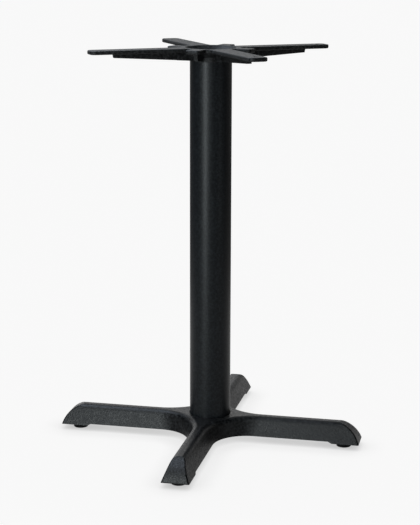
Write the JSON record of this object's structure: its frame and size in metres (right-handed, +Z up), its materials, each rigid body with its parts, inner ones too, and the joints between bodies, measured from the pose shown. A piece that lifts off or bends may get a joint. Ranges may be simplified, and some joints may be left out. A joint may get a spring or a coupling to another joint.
{
  "type": "four star table base",
  "caption": "Pedestal table base: a drafted cast star foot on levelling glides, a round steel column and a ribbed star bracket with screw holes for the table top.",
  "frame": {"origin": "on the floor, under the middle of the column", "axes": "+Z up along the column, X and Y along the arms of the foot"},
  "size_m": [0.572, 0.572, 0.7336],
  "materials": {
    "cast_black": "fine textured black powder coat on iron casting",
    "column_black": "satin black powder coat on drawn steel tube",
    "zinc_steel": "zinc plated steel",
    "glide_black": "matt black moulded plastic"
  },
  "bodies": {
    "stand": {"cast_base": "cast_black", "column": "column_black", "top_spider": "cast_black", "centre_rod": "zinc_steel", "upper_flat_washer": "zinc_steel", "upper_lock_washer": "zinc_steel", "upper_nut": "zinc_steel", "lower_flat_washer": "zinc_steel", "lower_lock_washer": "zinc_steel", "lower_nut": "zinc_steel"},
    "glide_1": {"glide_stud_1": "zinc_steel", "glide_foot_1": "glide_black"},
    "glide_2": {"glide_stud_2": "zinc_steel", "glide_foot_2": "glide_black"},
    "glide_3": {"glide_stud_3": "zinc_steel", "glide_foot_3": "glide_black"},
    "glide_4": {"glide_stud_4": "zinc_steel", "glide_foot_4": "glide_black"}
  },
  "joints": [
    {"name": "glide_1_screw", "type": "slide", "parent": "stand", "child": "glide_1", "axis": [0, 0, -1], "range_m": [0, 0.012]},
    {"name": "glide_2_screw", "type": "slide", "parent": "stand", "child": "glide_2", "axis": [0, 0, -1], "range_m": [0, 0.012]},
    {"name": "glide_3_screw", "type": "slide", "parent": "stand", "child": "glide_3", "axis": [0, 0, -1], "range_m": [0, 0.012]},
    {"name": "glide_4_screw", "type": "slide", "parent": "stand", "child": "glide_4", "axis": [0, 0, -1], "range_m": [0, 0.012]}
  ]
}
